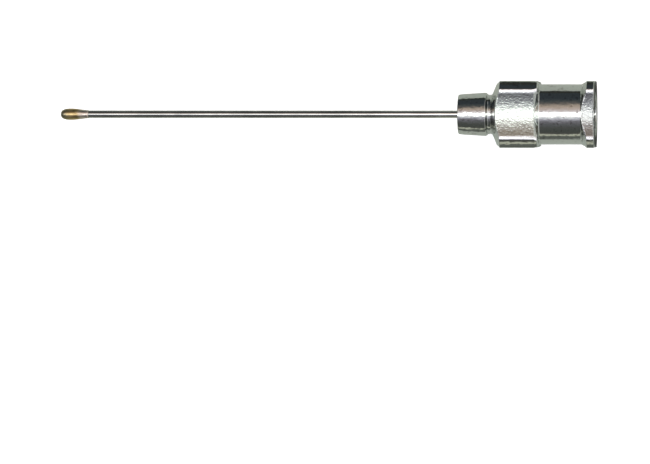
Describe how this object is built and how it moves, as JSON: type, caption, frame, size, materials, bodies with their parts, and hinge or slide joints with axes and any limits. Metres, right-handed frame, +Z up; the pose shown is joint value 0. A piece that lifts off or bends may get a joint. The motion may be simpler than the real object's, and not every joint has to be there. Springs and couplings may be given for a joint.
{
  "type": "ball-tipped luer-lock needle",
  "caption": "Straight blunt metal needle with an olive tip and a square-gripped Luer-lock hub, for dispensing or dosing liquid from a syringe.",
  "frame": {"origin": "centre of the Luer mouth, on the needle's axis, in the plane of the hub's rear face", "axes": "+X along the axis out of the Luer mouth, so the olive points to -X; +Z up, square to the fluted side that the needle lies on"},
  "size_m": [0.0511, 0.0064, 0.0064],
  "materials": {
    "hub_plating": "bright plated, turned, with matte speckled flutes along the bar",
    "tube_steel": "drawn and polished",
    "olive_metal": "polished, gold-coloured"
  },
  "bodies": {
    "root": {"hub": "hub_plating", "cannula": "tube_steel", "olive_tip": "olive_metal"}
  },
  "joints": []
}
